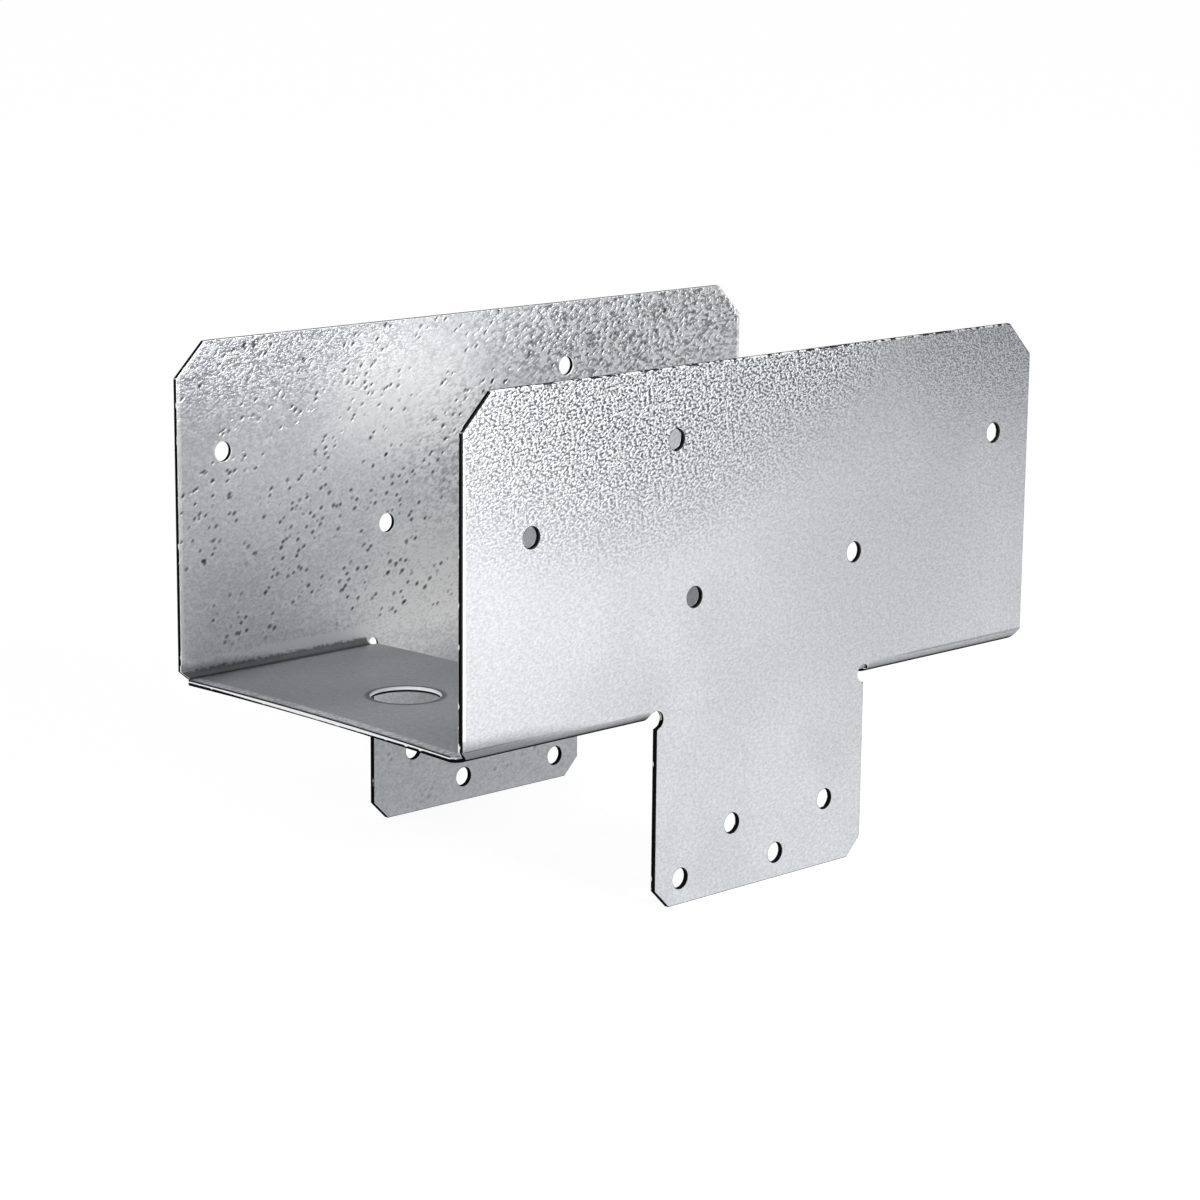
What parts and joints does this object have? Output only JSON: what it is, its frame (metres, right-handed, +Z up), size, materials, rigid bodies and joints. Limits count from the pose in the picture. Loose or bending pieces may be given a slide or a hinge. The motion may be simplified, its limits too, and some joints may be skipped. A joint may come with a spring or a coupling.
{
  "type": "column cap",
  "caption": "Folded sheet saddle: two upright flanges hold a beam on a seat, and two legs clasp the post below.",
  "frame": {"origin": "under the middle of the cap, on the plane of the legs' lower edges", "axes": "+X along the beam, +Y across it towards the back wall, +Z up; the beam lies above the seat and the post stands below it"},
  "size_m": [0.1714, 0.093, 0.115],
  "materials": {
    "zinc_steel": "galvanised, dull with fine spangle"
  },
  "bodies": {
    "root": {"column_cap": "zinc_steel"}
  },
  "joints": []
}
